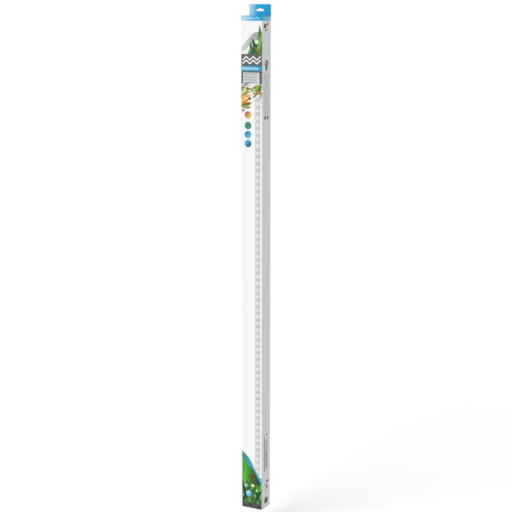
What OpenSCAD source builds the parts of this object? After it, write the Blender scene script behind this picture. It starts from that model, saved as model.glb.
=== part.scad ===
// Retail-packed aquarium lamp: a telescopic LED tube lamp, its power supply and its
// packing pads, standing in a tall hanging carton with tuck-in ends.
// Z is up, the printed front faces -Y, the origin is the middle of the carton's foot.

/* [Lamp] */
// Outside diameter of the lamp body, its end caps and its wide collars
lamp_d = 26; // [26:0.5:32]
// Lamp length with both end stubs pushed in
lamp_short = 1149; // [700:1:1500]
// How far each end stub pulls out
stub_travel = 25.5; // [10:0.5:30]
// Diameter of the narrow end stubs
stub_d = 16; // [12:0.5:16]
// Length of stub that stays outside the cap when it is pushed in
stub_show = 14; // [12:0.5:20]
// Length of each end cap
cap_len = 46; // [44:1:60]
// Solid end of each cap, next to the lamp body
cap_base = 6; // [6:0.5:10]
// Thickness of the gasket under each end cap
gasket_t = 1; // [0.6:0.1:2]

/* [Lamp section] */
// Wall of the half-round heat sink
sink_wall = 1.6; // [1.2:0.1:2.2]
// Thickness of the flat floor that carries the LED board
sink_floor = 1.8; // [1.2:0.1:2.4]
// Number of cooling grooves along the heat sink
groove_count = 11; // [5:2:15]
// Wall of the clear half-round cover
cover_wall = 1.2; // [0.8:0.1:1.8]
// Thickness of the foot that holds the cover in the heat sink
cover_foot = 1; // [0.8:0.1:1.4]
// Width of the LED board
board_w = 14; // [11:0.5:14]
// Thickness of the LED board
board_th = 1.6; // [1:0.1:2]
// Thickness of the rails and lips that hold the board and the cover
rail_t = 1; // [0.8:0.1:1.2]

/* [LEDs] */
// LEDs along one metre of board
leds_per_metre = 60; // [30:1:90]
// One LED in this many is red
red_every = 10; // [4:1:20]
// LED package size across the board
led_w = 2.8; // [2:0.1:3.5]
// LED package size along the board
led_l = 3.5; // [2.5:0.1:5]
// LED package height
led_h = 0.8; // [0.5:0.1:1.2]

/* [Screws and gland] */
// Thread diameter of the end cap screws
screw_d = 2.4; // [2:0.1:2.6]
// Head diameter of the end cap screws
screw_head_d = 3.8; // [3.4:0.1:4]
// Length of thread in the heat sink
screw_grip = 10; // [6:1:16]
// Diameter of the cable gland's stem
gland_d = 4.8; // [4:0.1:5]
// Bore left for the supply cable
gland_bore_d = 3.2; // [2.4:0.1:3.4]

/* [Power supply] */
// Thickness of the power supply
psu_w = 24; // [23:0.5:34]
// Depth of the power supply
psu_d = 40; // [38:0.5:56]
// Length of the power supply
psu_l = 100; // [96:1:140]
// Height of the power supply's lid
psu_lid_h = 8.4; // [6:0.2:9]
// Wall of the power supply's two shells
psu_wall = 2; // [1.4:0.1:2.6]
// Radius of the power supply's upright edges
psu_edge_r = 4; // [2:0.5:6]

/* [Carton] */
// Thickness of the carton board
board_t = 1.2; // [0.8:0.1:1.6]
// Outside radius of the folded upright corners
corner_r = 1.6; // [1.2:0.1:3]
// Space between the contents and the side panels
side_gap = 1.2; // [0.8:0.1:4]
// Space between the power supply and the lamp
pack_gap = 1.2; // [0.8:0.1:6]
// Space in front of and behind the power supply, past the glue flap
depth_gap = 0.6; // [0.5:0.1:4]
// Space past each end of the lamp with its stubs pulled out
end_room = 7.3; // [6:0.05:20]
// Width of the glue flap inside the back panel
glue_flap_w = 12; // [8:1:16]
// Length of the tongue on each tuck flap
tongue_len = 14; // [10:0.5:18]
// Reach of the dust flaps
dust_reach = 18; // [12:0.5:20]
// Thickness of the packing pads
pad_t = 20; // [12:1:30]
// Distance from the lamp body's ends to the outer pads
pad_inset = 60; // [30:1:120]

/* [Hang tab] */
// Height of the hang tab above the carton
tab_h = 26; // [24:0.5:40]
// Radius of the tab's upper corners
tab_corner_r = 1.5; // [1:0.5:6]
// Width of the hang slot
slot_w = 20.6; // [16:0.2:30]
// Height of the hang slot's long part
slot_h = 4.6; // [4.4:0.1:6]
// Radius of the rise in the middle of the slot
slot_bump_r = 5; // [4:0.1:6]
// Height of the slot's lower edge above the carton
slot_base = 9.8; // [6:0.2:12]

/* [Fits] */
// Running clearance of a stub in its cap and of a collar on its stub
slide_fit = 0.05; // [0.02:0.01:0.1]
// Clearance of pieces that slide or drop into each other
part_fit = 0.1; // [0.05:0.01:0.2]
// Gap at a crease between a flap and what it turns beside
crease_gap = 0.3; // [0.2:0.05:0.5]
// Clearance of a tongue behind the front panel
tuck_gap = 0.5; // [0.4:0.1:1]
// Clearance of the pads in the carton and of their seats round the lamp
pad_fit = 0.3; // [0.2:0.05:0.6]

/* [Hidden] */
$fn = 48;
// Overlap of cutting tools past the faces that they cut
past = 1;

// Fixed sizes of small pieces
// Glue flap: where its crease stops short of the carton's ends, and the slant of its own ends
glue_trim = 8;
glue_slant = 12;
// Screw axes in from the lamp's outside, wall of a screw boss, and room round a screw head
screw_edge = 2.05;
boss_wall = 1.1;
head_gap = 0.3;
// Space between the heat sink's ends and the LED board's
board_end = 2;
// Share of an LED's package that its window takes, and how proud the window stands
led_window = 0.7;
led_proud = 0.15;
// Wall and end of a hollow stub, and room left under it in the bore
stub_wall = 3;
bore_rest = 2;
// Section radius of a stub's seal, and its height above the stub's inner end
seal_r = 0.9;
seal_at = 5;
// Flange and snap ring of a stub: reach past the stub, and thickness
flange = [1.5, 0.9];
snap = [0.8, 0.6];
// Cable gland: stem inside the cap, hexagon across flats and its height, thread outside,
// thread's reach past the stem, depth of the seal's seat and of the lip round it
gland_in = 4;
gland_hex = [8, 2.5];
gland_out = 4;
gland_thread = 0.5;
gland_seat = 1;
gland_lip = 0.2;
// Mains inlet: width, depth and height; outlet grommet: radius and lip
inlet_size = [18, 12, 9];
outlet_r = 4;
outlet_lip = 1;
// Lap where the lid goes over the base, as thickness and height
psu_lap = [0.9, 2];
// Status lens
lens_r = 1.5;
// Power supply board: thickness, and height and radius of the rests under it
psu_board_t = 1.6;
rest_h = 2;
rest_r = 2;
// Transformer: core and coil, each across the board, along it and up, and its place along it
core_size = [20, 22, 11];
coil_size = [13, 25, 7];
core_at = -2;

// Carton sizes follow what the carton holds
in_w = 2 * side_gap + psu_w + pack_gap + lamp_d;
in_d = max(psu_d, lamp_d) + 2 * (board_t + depth_gap);
carton_w = in_w + 2 * board_t;
carton_d = in_d + 2 * board_t;
closure_h = 2 * board_t + crease_gap;
carton_h = lamp_short + 2 * (stub_travel + end_room + closure_h);
mid_z = carton_h / 2;

// Flap creases
lid_z = board_t / 2;
top_crease_y = carton_d / 2 - 2 * board_t - crease_gap - board_t / 2;
bottom_crease_y = carton_d / 2 - board_t / 2;
tongue_y = -carton_d / 2 + board_t + tuck_gap;
tongue_tilt = 10;
dust_x = carton_w / 2 - board_t / 2;
dust_z = board_t + crease_gap + board_t / 2;
dust_taper = 3.4;
// The dust flaps' back edges fall away faster than the lid rises above them
dust_slope = 1.05;
dust_back = 2.5;
dust_clear = 1;
side_panel_end = dust_z + board_t / 2 + crease_gap;

// Lamp places
lamp_r = lamp_d / 2;
lamp_x = in_w / 2 - side_gap - lamp_r;
sink_len = lamp_short - 2 * (stub_show + cap_len + gasket_t);
cap_z = sink_len / 2 + gasket_t;
cap_end_z = cap_z + cap_len;
bore_r = stub_d / 2 + slide_fit;
screw_radius = lamp_r - screw_edge;
screw_angles = [45, 135];
boss_r = screw_d / 2 + boss_wall;
flute_r = screw_head_d / 2 + head_gap;
foot_y = part_fit + cover_foot;
rail_x = board_w / 2 + part_fit;
led_pitch = 1000 / leds_per_metre;
board_len = sink_len - 2 * board_end;
led_count = floor((board_len - 2 * led_pitch) / led_pitch) + 1;
red_first = floor(red_every / 2);
stub_in = cap_len - cap_base - bore_rest;
collar_len = stub_show - flange.y - 4 * part_fit - 2 * snap.y;

// Power supply and pad places
psu_x = -in_w / 2 + side_gap;
lower_pad_z = mid_z - sink_len / 2 + pad_inset;
upper_pad_z = mid_z + sink_len / 2 - pad_inset - pad_t;
psu_z = lower_pad_z + pad_t;
psu_split = psu_w - psu_lid_h;
psu_board_z = psu_wall + rest_h;
inlet_z = psu_split / 2;

// Shared shapes

module rounded_rect(size, r) {
    square([size.x - 2 * r, size.y], center = true);
    square([size.x, size.y - 2 * r], center = true);
    for (sx = [-1, 1], sy = [-1, 1])
        translate([sx * (size.x / 2 - r), sy * (size.y / 2 - r)]) circle(r = r);
}

// Section of the folded carton wall, with round corners
module wall_section() {
    difference() {
        rounded_rect([carton_w, carton_d], corner_r);
        square([in_w, in_d], center = true);
    }
}

// The part of the wall on one side, cut at the corner mitres; half is the distance
// of that wall from the middle and other the distance of the walls beside it
module mitre(half, other) {
    deep = board_t * 3;
    polygon([[-other - past, -half - past], [other + past, -half - past],
        [other - deep, -half + deep], [-other + deep, -half + deep]]);
}

module wall(turn) {
    along = turn % 180 == 0;
    half = (along ? carton_d : carton_w) / 2;
    other = (along ? carton_w : carton_d) / 2;
    intersection() {
        wall_section();
        rotate(turn) mitre(half, other);
    }
}

module upside_down() {
    translate([0, 0, carton_h]) mirror([0, 0, 1]) children();
}

// Upper end of the lamp as drawn, lower end mirrored, both on the lamp's axis
module lamp_end(upper) {
    translate([lamp_x, 0, mid_z]) mirror([0, 0, upper ? 0 : 1]) children();
}

// Carton panels

module front_panel() {
    color("white") linear_extrude(carton_h) wall(0);
}

// Where a dust flap starts and ends along the lid, measured forwards from the lid's crease
function dust_front(crease_y) = crease_y - tongue_y - tongue_len * sin(tongue_tilt) - board_t - dust_clear;

// The place in a side panel's lower edge where a dust flap is creased on
module dust_notch(crease_y) {
    front = dust_front(crease_y) + crease_gap;
    translate([-carton_w, crease_y - front, -past])
        cube([2 * carton_w, front - dust_back + crease_gap, side_panel_end + past]);
}

// A side panel ends in the dust flaps' creases, and reaches to the lids beside them
module side_panel(turn) {
    low = board_t + 2 * crease_gap;
    color("white") difference() {
        translate([0, 0, low]) linear_extrude(carton_h - 2 * low) wall(turn);
        dust_notch(bottom_crease_y);
        upside_down() dust_notch(top_crease_y);
    }
}

module right_side_panel() { side_panel(90); }

module left_side_panel() { side_panel(-90); }

// The hang slot: a long slot with a round rise in the middle
module hang_slot() {
    end_r = slot_h / 2;
    translate([0, carton_h + slot_base + end_r]) {
        square([slot_w - slot_h, slot_h], center = true);
        for (s = [-1, 1]) translate([s * (slot_w / 2 - end_r), 0]) circle(r = end_r);
        intersection() {
            translate([0, end_r - slot_bump_r / 2]) circle(r = slot_bump_r);
            translate([-slot_bump_r, 0]) square([2 * slot_bump_r, slot_bump_r * 2]);
        }
    }
}

// Outline of one layer of the tab, drawn on the back panel's plane; root is how far it
// reaches down below the top of the carton
module tab_outline(root) {
    r = tab_corner_r;
    low = carton_h - root;
    top = carton_h + tab_h - board_t;
    difference() {
        union() {
            translate([-carton_w / 2, low]) square([carton_w, top - r - low]);
            translate([-carton_w / 2 + r, low]) square([carton_w - 2 * r, top - low]);
            for (s = [-1, 1]) translate([s * (carton_w / 2 - r), top - r]) circle(r = r);
        }
        hang_slot();
    }
}

module tab_layer(y, root) {
    translate([0, y, 0]) rotate([90, 0, 0]) linear_extrude(board_t) tab_outline(root);
}

module back_panel() {
    low = board_t + crease_gap;
    color("white") {
        translate([0, 0, low]) linear_extrude(carton_h - board_t - low) wall(180);
        tab_layer(carton_d / 2, 3 * board_t);
    }
}

// The second layer of the tab, with the fold that carries it over the top of the first
module hang_tab_facing() {
    fold_w = carton_w - 2 * tab_corner_r;
    color("deepskyblue") {
        tab_layer(carton_d / 2 - board_t, board_t);
        translate([0, carton_d / 2 - board_t, carton_h + tab_h - board_t]) intersection() {
            rotate([0, 90, 0]) cylinder(r = board_t, h = fold_w, center = true);
            translate([-fold_w / 2, -board_t, 0]) cube([fold_w, 2 * board_t, board_t]);
        }
    }
}

// Seam strip creased to the left side panel, with slanted ends that clear the flaps
module glue_flap() {
    free = glue_trim + glue_slant;
    color("white") translate([-in_w / 2, in_d / 2, 0]) rotate([90, 0, 0]) linear_extrude(board_t)
        polygon([[0, glue_trim], [glue_flap_w, free],
            [glue_flap_w, carton_h - free], [0, carton_h - glue_trim]]);
}

// Carton flaps, drawn for the foot of the carton and turned over for its top

// Section of a lid, from its crease to the front, with a tongue that leans inwards
module tuck_section(reach) {
    r = board_t / 2;
    circle(r = r);
    translate([-reach + r, -r]) square([reach - r, board_t]);
    translate([-reach + r, 0]) {
        circle(r = r);
        rotate(-tongue_tilt) translate([-r, 0]) square([board_t, tongue_len]);
    }
}

// A tongue with round corners, narrow enough to go in between the side panels
module tongue_outline() {
    w = in_w - 2 * tuck_gap;
    r = tongue_len / 3;
    translate([-w / 2, 0]) square([w, tongue_len - r]);
    translate([-w / 2 + r, 0]) square([w - 2 * r, tongue_len]);
    for (s = [-1, 1]) translate([s * (w / 2 - r), tongue_len - r]) circle(r = r);
}

module tuck_flap(crease_y) {
    reach = crease_y - tongue_y;
    neck = board_t * 0.7;
    translate([0, crease_y, lid_z]) difference() {
        rotate([90, 0, 90]) linear_extrude(carton_w, center = true) tuck_section(reach);
        translate([0, -reach + board_t / 2, 0]) rotate([90 - tongue_tilt, 0, 0]) translate([0, 0, -board_t])
            linear_extrude(2 * board_t) difference() {
                translate([-carton_w, neck]) square([2 * carton_w, 2 * tongue_len]);
                tongue_outline();
            }
    }
}

// A dust flap hinged on the right side panel, under the lid
module dust_flap(crease_y) {
    r = board_t / 2;
    front = dust_front(crease_y);
    translate([dust_x, crease_y, dust_z]) {
        translate([0, 0, -r]) linear_extrude(board_t) polygon([[0, -dust_back],
            [-dust_reach, -dust_back - dust_slope * dust_reach],
            [-dust_reach, -front + dust_taper], [0, -front]]);
        translate([0, -dust_back, 0]) rotate([90, 0, 0]) cylinder(r = r, h = front - dust_back);
    }
}

module top_tuck_flap() { color("deepskyblue") upside_down() tuck_flap(top_crease_y); }

module top_dust_flap_right() { color("white") upside_down() dust_flap(top_crease_y); }

module top_dust_flap_left() { color("white") upside_down() mirror([1, 0, 0]) dust_flap(top_crease_y); }

module bottom_tuck_flap() { color("white") tuck_flap(bottom_crease_y); }

module bottom_dust_flap_right() { color("white") dust_flap(bottom_crease_y); }

module bottom_dust_flap_left() { color("white") mirror([1, 0, 0]) dust_flap(bottom_crease_y); }

// Lamp body, with the LEDs facing -Y

module screw_places() {
    for (a = screw_angles) rotate(a) translate([screw_radius, 0]) children();
}

// Extruded aluminium: a grooved half ring, a floor, two screw bosses, and the rails
// that hold the LED board and the feet of the cover
module heat_sink_section() {
    lip_w = 0.8;
    hook_w = 2;
    groove_r = 0.5;
    span = 140;
    difference() {
        intersection() {
            circle(r = lamp_r);
            union() {
                difference() {
                    translate([-lamp_r, 0]) square([lamp_d, lamp_r]);
                    circle(r = lamp_r - sink_wall);
                }
                translate([-lamp_r, 0]) square([lamp_d, sink_floor]);
                screw_places() circle(r = boss_r);
                for (s = [0, 1]) mirror([s, 0]) {
                    translate([rail_x, -board_th - part_fit - rail_t])
                        square([rail_t, board_th + part_fit + rail_t]);
                    translate([rail_x - lip_w, -board_th - part_fit - rail_t]) square([lip_w, rail_t]);
                    translate([rail_x + rail_t, -foot_y - part_fit - rail_t]) square([hook_w, rail_t]);
                }
            }
        }
        screw_places() circle(r = screw_d / 2);
        for (i = [0 : groove_count - 1])
            rotate(90 - span / 2 + i * span / (groove_count - 1)) translate([lamp_r, 0]) circle(r = groove_r);
    }
}

module heat_sink() {
    color("silver") translate([lamp_x, 0, mid_z]) linear_extrude(sink_len, center = true) heat_sink_section();
}

// Clear cover: a half ring whose two feet slide under the heat sink's hooks
module light_cover() {
    foot_x = rail_x + rail_t + part_fit;
    color("aliceblue", 0.5) translate([lamp_x, 0, mid_z]) linear_extrude(sink_len, center = true)
        difference() {
            circle(r = lamp_r);
            difference() {
                circle(r = lamp_r - cover_wall);
                for (s = [0, 1]) mirror([s, 0]) translate([foot_x, -foot_y]) square([lamp_r, cover_foot]);
            }
            translate([-lamp_d, -part_fit]) square([2 * lamp_d, lamp_d]);
        }
}

module led_board() {
    color("whitesmoke") translate([lamp_x - board_w / 2, -board_th, mid_z - board_len / 2])
        cube([board_w, board_th, board_len]);
}

// One LED: a moulded package with the emitting window standing a little proud
module led() {
    window = [led_w, led_l] * led_window;
    translate([-led_w / 2, -led_h, -led_l / 2]) cube([led_w, led_h, led_l]);
    translate([-window.x / 2, -led_h - led_proud, -window.y / 2]) cube([window.x, 2 * led_proud, window.y]);
}

module led_row(red) {
    for (i = [0 : led_count - 1])
        if ((i % red_every == red_first) == red)
            translate([lamp_x, -board_th, mid_z + (i - (led_count - 1) / 2) * led_pitch]) led();
}

module white_leds() { color("lightyellow") led_row(false); }

module red_leds() { color("tomato") led_row(true); }

// A series resistor between every sixth pair of LEDs
module ballast_resistors() {
    size = [1.6, 0.6, 3.2];
    every = 6;
    aside = 4;
    color("black")
        for (i = [2 : every : led_count - 2])
            translate([lamp_x + aside - size.x / 2, -board_th - size.y,
                mid_z + (i + 0.5 - (led_count - 1) / 2) * led_pitch - size.z / 2]) cube(size);
}

// Two-way push-in terminal at the board's lower end
module board_terminal() {
    size = [8, 4, 9];
    hole_r = 0.9;
    hole_x = size.x / 4;
    up = 1;
    color("white")
        translate([lamp_x, -board_th, mid_z - board_len / 2 + up]) difference() {
            translate([-size.x / 2, -size.y, 0]) cube(size);
            for (s = [-1, 1]) translate([s * hole_x, -size.y / 2, -past]) cylinder(r = hole_r, h = size.z);
        }
}

// Lamp ends

module end_gasket() {
    wire_r = 2.2;
    translate([0, 0, sink_len / 2]) linear_extrude(gasket_t) difference() {
        circle(r = lamp_r - part_fit);
        screw_places() circle(r = screw_d / 2 + part_fit);
        circle(r = wire_r);
    }
}

// A cap with a chamfered mouth, the stub's bore, and two flutes that reach its screws
module end_cap() {
    chamfer = 1;
    translate([0, 0, cap_z]) difference() {
        rotate_extrude() polygon([[0, 0], [lamp_r, 0], [lamp_r, cap_len - chamfer],
            [lamp_r - chamfer, cap_len], [0, cap_len]]);
        translate([0, 0, cap_base]) cylinder(r = bore_r, h = cap_len);
        screw_places() translate([0, 0, cap_base]) cylinder(r = flute_r, h = cap_len);
        screw_places() translate([0, 0, -past]) cylinder(r = screw_d / 2 + part_fit, h = cap_len);
    }
}

// The gland sits in the solid base of the lower cap, pointing at the power supply's side
module at_gland() {
    translate([0, 0, cap_z + cap_base / 2]) rotate([0, -90, 0]) children();
}

module gland_hole() {
    at_gland() cylinder(r = gland_d / 2 + part_fit, h = lamp_r + past);
}

module cap_screws() {
    head_h = 1.8;
    slot = [screw_head_d * 0.6, 0.7, 0.9];
    screw_places() translate([0, 0, cap_z + cap_base]) difference() {
        union() {
            cylinder(r = screw_head_d / 2, h = head_h);
            translate([0, 0, -cap_base - gasket_t - screw_grip])
                cylinder(r = screw_d / 2, h = cap_base + gasket_t + screw_grip);
        }
        for (a = [0, 90]) rotate(a) translate([-slot.x / 2, -slot.y / 2, head_h - slot.z])
            cube([slot.x, slot.y, slot.z + past]);
    }
}

// A hollow stub with a seal groove, a flange that stops it on the cap, and a snap ring groove
module stub() {
    r = stub_d / 2;
    ring_z = stub_show - 2 * snap.y;
    translate([0, 0, cap_end_z]) difference() {
        union() {
            translate([0, 0, -stub_in]) cylinder(r = r, h = stub_in + stub_show);
            translate([0, 0, part_fit]) cylinder(r = r + flange.x, h = flange.y);
        }
        translate([0, 0, -stub_in - past])
            cylinder(r = r - stub_wall, h = stub_in + past + stub_show - stub_wall);
        translate([0, 0, -stub_in + seal_at - seal_r - part_fit])
            groove(r - 2 * seal_r, 2 * (seal_r + part_fit));
        translate([0, 0, ring_z]) groove(r - snap.x, snap.y + part_fit);
    }
}

// A turned groove down to a radius
module groove(floor_r, width) {
    difference() {
        cylinder(r = stub_d, h = width);
        translate([0, 0, -past]) cylinder(r = floor_r, h = width + 2 * past);
    }
}

module stub_seal() {
    translate([0, 0, cap_end_z - stub_in + seal_at]) rotate_extrude()
        translate([stub_d / 2 - seal_r, 0]) circle(r = seal_r);
}

// Ribbed collar that makes a narrow stub as wide as the lamp; it turns on the stub
module collar() {
    ribs = 16;
    rib_r = 0.8;
    chamfer = 0.8;
    translate([0, 0, cap_end_z + part_fit + flange.y + part_fit]) difference() {
        rotate_extrude() polygon([[bore_r, 0], [lamp_r - chamfer, 0], [lamp_r, chamfer],
            [lamp_r, collar_len - chamfer], [lamp_r - chamfer, collar_len], [bore_r, collar_len]]);
        for (i = [0 : ribs - 1]) rotate(i * 360 / ribs) translate([lamp_r + rib_r / 3, 0, -past])
            cylinder(r = rib_r, h = collar_len + 2 * past);
    }
}

// Split ring that keeps the collar on its stub
module snap_ring() {
    split = 3;
    translate([0, 0, cap_end_z + stub_show - 2 * snap.y]) difference() {
        cylinder(r = stub_d / 2 + snap.x, h = snap.y);
        translate([0, 0, -past]) cylinder(r = stub_d / 2 - snap.x + part_fit, h = snap.y + 2 * past);
        translate([0, -split / 2, -past]) cube([stub_d, split, snap.y + 2 * past]);
    }
}

module upper_gasket() { color("gainsboro") lamp_end(true) end_gasket(); }
module lower_gasket() { color("gainsboro") lamp_end(false) end_gasket(); }
module upper_end_cap() { color("dimgray") lamp_end(true) end_cap(); }
module lower_end_cap() {
    color("dimgray") lamp_end(false) difference() {
        end_cap();
        gland_hole();
        translate([0, 0, cap_z - past]) cylinder(r = gland_bore_d / 2, h = cap_base / 2 + past);
    }
}
module upper_cap_screws() { color("silver") lamp_end(true) cap_screws(); }
module lower_cap_screws() { color("silver") lamp_end(false) cap_screws(); }
module upper_stub() { color("whitesmoke") lamp_end(true) stub(); }
module lower_stub() { color("whitesmoke") lamp_end(false) stub(); }
module upper_stub_seal() { color("black") lamp_end(true) stub_seal(); }
module lower_stub_seal() { color("black") lamp_end(false) stub_seal(); }
module upper_collar() { color("dimgray") lamp_end(true) collar(); }
module lower_collar() { color("dimgray") lamp_end(false) collar(); }
module upper_snap_ring() { color("silver") lamp_end(true) snap_ring(); }
module lower_snap_ring() { color("silver") lamp_end(false) snap_ring(); }

// Cable gland on the lower cap

module cable_gland() {
    color("black") lamp_end(false) at_gland() difference() {
        union() {
            translate([0, 0, lamp_r - gland_in]) cylinder(r = gland_d / 2, h = gland_in + gland_out);
            translate([0, 0, lamp_r]) cylinder(d = gland_hex.x / cos(30), h = gland_hex.y, $fn = 6);
            translate([0, 0, lamp_r]) cylinder(r = gland_d / 2 + gland_thread, h = gland_hex.y + gland_out);
        }
        cylinder(r = gland_bore_d / 2, h = lamp_d);
        translate([0, 0, lamp_r + gland_hex.y + gland_out - gland_seat])
            cylinder(r = gland_d / 2 - gland_lip, h = gland_seat + past);
    }
}

module gland_seal() {
    color("gray") lamp_end(false) at_gland()
        translate([0, 0, lamp_r + gland_hex.y + gland_out - gland_seat]) difference() {
            cylinder(r = gland_d / 2 - gland_lip - part_fit, h = gland_seat);
            translate([0, 0, -past]) cylinder(r = gland_bore_d / 2, h = gland_seat + 2 * past);
        }
}

module gland_nut() {
    roof = 1.2;
    thread_r = gland_d / 2 + gland_thread + part_fit;
    color("black") lamp_end(false) at_gland()
        translate([0, 0, lamp_r + gland_hex.y + part_fit]) difference() {
            cylinder(d = gland_hex.x / cos(30), h = gland_out + roof, $fn = 6);
            translate([0, 0, -past]) cylinder(r = thread_r, h = gland_out - part_fit + past);
            cylinder(r = gland_bore_d / 2, h = gland_out + roof + past);
        }
}

// Packing pads of layered board

module pad_outline() {
    difference() {
        translate([-in_w / 2, -in_d / 2 + pad_fit]) square([in_w - pad_fit, in_d - 2 * pad_fit]);
        translate([-in_w / 2, in_d / 2 - board_t - pad_fit])
            square([glue_flap_w + pad_fit, board_t + 2 * pad_fit]);
    }
}

// A pad with a seat that the lamp drops into from the side
module lamp_pad(z) {
    seat_r = lamp_r + pad_fit / 2;
    color("burlywood") translate([0, 0, z]) linear_extrude(pad_t) difference() {
        pad_outline();
        translate([lamp_x, 0]) circle(r = seat_r);
        translate([lamp_x, -seat_r]) square([in_w, 2 * seat_r]);
    }
}

module lower_pad() { lamp_pad(lower_pad_z); }

module middle_pad() { lamp_pad(mid_z - pad_t / 2); }

module upper_pad() { lamp_pad(upper_pad_z); }

// Keeps the power supply down on the lower pad
module psu_pad() {
    color("burlywood") translate([0, 0, psu_z + psu_l]) linear_extrude(pad_t) intersection() {
        pad_outline();
        translate([-in_w / 2, -in_d / 2]) square([lamp_x - lamp_r - pad_fit + in_w / 2, in_d]);
    }
}

// Power supply: two shells that split across its thickness

module at_psu() {
    translate([psu_x, 0, psu_z + psu_l / 2]) rotate([90, 0, 90]) children();
}

module psu_outline(inset) {
    rounded_rect([psu_d - 2 * inset, psu_l - 2 * inset], psu_edge_r - inset / 2);
}

// The lower shell, with a rim that the lid laps over
module psu_base() {
    color("black") at_psu() difference() {
        union() {
            linear_extrude(psu_split) psu_outline(0);
            linear_extrude(psu_split + psu_lap.y) psu_outline(psu_wall - psu_lap.x);
        }
        translate([0, 0, psu_wall]) linear_extrude(psu_split + psu_lap.y) psu_outline(psu_wall);
        inlet_cut(part_fit);
        translate([0, -psu_l / 2 - past, inlet_z]) rotate([-90, 0, 0])
            cylinder(r = outlet_r - outlet_lip + part_fit, h = psu_wall + 2 * past);
    }
}

// The place of the mains inlet in the upper end wall
module inlet_cut(gap) {
    translate([-inlet_size.x / 2 - gap, psu_l / 2 - inlet_size.y, inlet_z - inlet_size.z / 2 - gap])
        cube([inlet_size.x + 2 * gap, inlet_size.y + past, inlet_size.z + 2 * gap]);
}

module psu_lid() {
    color("black") at_psu() translate([0, 0, psu_split]) difference() {
        linear_extrude(psu_lid_h) psu_outline(0);
        translate([0, 0, -psu_wall]) linear_extrude(psu_lid_h) psu_outline(psu_wall);
        translate([0, 0, -past])
            linear_extrude(psu_lap.y + part_fit + past) psu_outline(psu_wall - psu_lap.x - part_fit);
        translate([0, -psu_l / 4, 0]) cylinder(r = lens_r + part_fit, h = psu_w);
    }
}

module psu_status_lens() {
    color("limegreen") at_psu() translate([0, -psu_l / 4, psu_w - psu_wall])
        cylinder(r = lens_r, h = psu_wall);
}

module psu_board() {
    board_gap = 1;
    inset = psu_wall + board_gap;
    size = [psu_d - 2 * inset, psu_l - 2 * inset - inlet_size.y - outlet_r, psu_board_t];
    color("darkgreen") at_psu() {
        translate([-size.x / 2, -size.y / 2 - inlet_size.y / 2 + outlet_r / 2, psu_board_z]) cube(size);
        for (sx = [-1, 1], sy = [-1, 1])
            translate([sx * size.x / 3, sy * size.y / 3 - inlet_size.y / 2, psu_wall])
                cylinder(r = rest_r, h = rest_h);
    }
}

module psu_transformer() {
    color("goldenrod") at_psu() translate([0, core_at, psu_board_z + psu_board_t]) {
        translate([-core_size.x / 2, -core_size.y / 2, 0]) cube(core_size);
        translate([-coil_size.x / 2, -coil_size.y / 2, (core_size.z - coil_size.z) / 2]) cube(coil_size);
    }
}

// Three cans, each with its place across and along the board and its radius
module psu_capacitors() {
    cans = [[-8, 20, 5], [8, -26, 4], [-3, -26, 4]];
    can_h = 12;
    color("navy") at_psu() for (can = cans)
        translate([can.x, can.y, psu_board_z + psu_board_t]) cylinder(r = can.z, h = can_h);
}

// Two-pin inlet with a figure-of-eight socket
module psu_mains_inlet() {
    lobe_r = 3.3;
    lobe_x = 4.3;
    depth = 9;
    pin_r = 1.1;
    pin_short = 1;
    color("dimgray") at_psu() difference() {
        inlet_cut(0);
        translate([-psu_d, psu_l / 2, 0]) cube([2 * psu_d, 2 * past, psu_w]);
        difference() {
            translate([0, psu_l / 2 + past, inlet_z]) rotate([90, 0, 0]) linear_extrude(depth + past) {
                for (s = [-1, 1]) translate([s * lobe_x, 0]) circle(r = lobe_r);
                square([2 * lobe_x, lobe_r], center = true);
            }
            for (s = [-1, 1]) translate([s * lobe_x, psu_l / 2 - depth - past, inlet_z])
                rotate([-90, 0, 0]) cylinder(r = pin_r, h = depth - pin_short + past);
        }
    }
}

// Grommet where the low-voltage lead leaves
module psu_outlet_gland() {
    lip = outlet_lip;
    bore = 1.6;
    color("black") at_psu() translate([0, -psu_l / 2, inlet_z]) rotate([-90, 0, 0]) difference() {
        union() {
            cylinder(r = outlet_r - lip, h = psu_wall + lip);
            translate([0, 0, psu_wall]) cylinder(r = outlet_r, h = lip);
        }
        translate([0, 0, -past]) cylinder(r = bore, h = psu_wall + lip + 2 * past);
    }
}

front_panel();
right_side_panel();
back_panel();
left_side_panel();
glue_flap();
hang_tab_facing();
top_tuck_flap();
top_dust_flap_right();
top_dust_flap_left();
bottom_tuck_flap();
bottom_dust_flap_right();
bottom_dust_flap_left();
heat_sink();
led_board();
white_leds();
red_leds();
ballast_resistors();
board_terminal();
light_cover();
upper_gasket();
lower_gasket();
upper_end_cap();
lower_end_cap();
upper_cap_screws();
lower_cap_screws();
upper_stub();
lower_stub();
upper_stub_seal();
lower_stub_seal();
upper_collar();
lower_collar();
upper_snap_ring();
lower_snap_ring();
cable_gland();
gland_seal();
gland_nut();
lower_pad();
middle_pad();
upper_pad();
psu_pad();
psu_base();
psu_lid();
psu_board();
psu_transformer();
psu_capacitors();
psu_mains_inlet();
psu_outlet_gland();
psu_status_lens();
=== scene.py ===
"""Dresses a hanging carton that holds a telescopic aquarium lamp, and sets its stage."""

from math import cos, pi, radians, sin

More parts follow.
